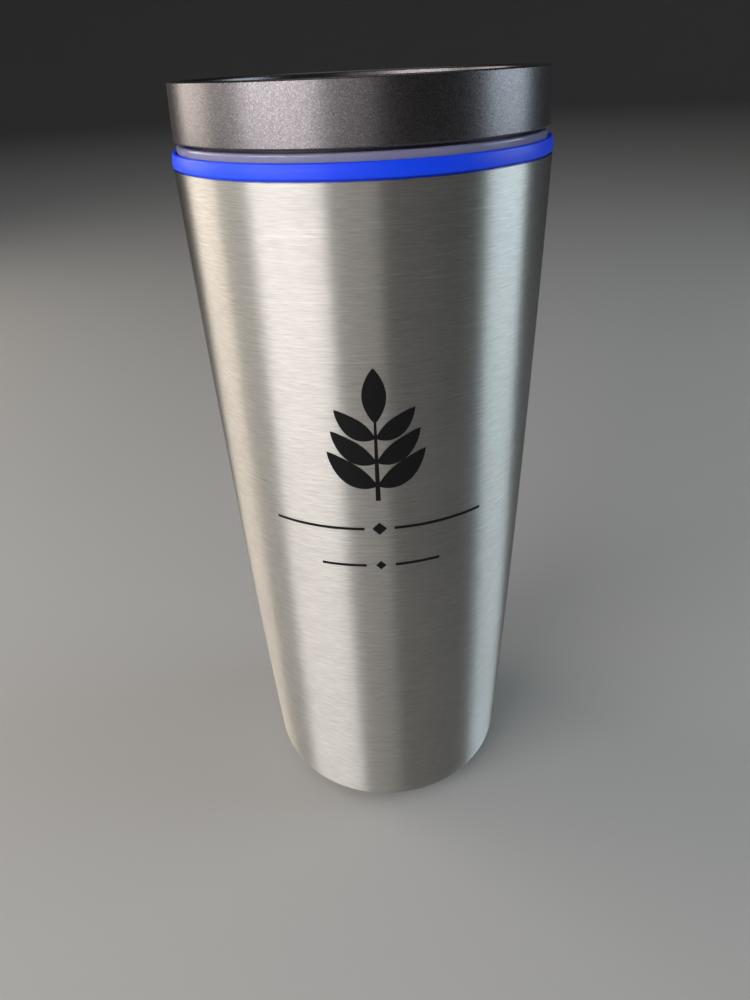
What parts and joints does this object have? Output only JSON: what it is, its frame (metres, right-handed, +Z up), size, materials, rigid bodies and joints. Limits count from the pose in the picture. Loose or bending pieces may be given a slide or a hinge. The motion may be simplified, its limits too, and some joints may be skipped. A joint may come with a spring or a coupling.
{
  "type": "insulated tumbler with lid",
  "caption": "Tapered brushed-steel insulated tumbler with a coloured neck ring and a black screw-on lid that has a thumb slide over the drink opening.",
  "frame": {"origin": "centre of the flat face that the tumbler stands on", "axes": "+Z up along the tumbler's axis; +Y towards the drink opening; -Y is the front"},
  "size_m": [0.0876, 0.0876, 0.203],
  "materials": {
    "brushed_steel": "fine horizontal brushed grain",
    "base_steel": "pressed, matt",
    "pad_rubber": "matt, lightly textured",
    "translucent_plastic": "smooth, milky, translucent",
    "blue_plastic": "smooth satin",
    "silicone": "soft, matt, translucent",
    "pearl_black_plastic": "satin with a fine pearl grain",
    "black_plastic": "satin, fine mould texture",
    "slide_plastic": "semi-gloss"
  },
  "bodies": {
    "tumbler": {"outer_shell": "brushed_steel", "base_plate": "base_steel", "base_pad": "pad_rubber", "inner_liner": "translucent_plastic", "accent_ring": "blue_plastic", "shell_seal": "silicone"},
    "gasket_ring": {"lid_gasket": "silicone"},
    "lid": {"lid_cap": "pearl_black_plastic", "lid_plug": "black_plastic"},
    "slide": {"slider": "slide_plastic", "slider_seal": "silicone", "slider_carrier": "black_plastic"}
  },
  "joints": [
    {"name": "lid_rise", "type": "slide", "parent": "tumbler", "child": "gasket_ring", "axis": [0, 0, 1], "range_m": [0, 0.018]},
    {"name": "lid_turn", "type": "hinge", "parent": "gasket_ring", "child": "lid", "pos_m": [0, 0, 0.18], "axis": [0, 0, 1], "range_deg": [0, 270]},
    {"name": "slide_close", "type": "slide", "parent": "lid", "child": "slide", "axis": [0, 1, 0], "range_m": [0, 0.015]}
  ],
  "couplings": [
    {"joint": "lid_rise", "follows": "lid_turn", "m_per_rad": 0.0038197}
  ]
}
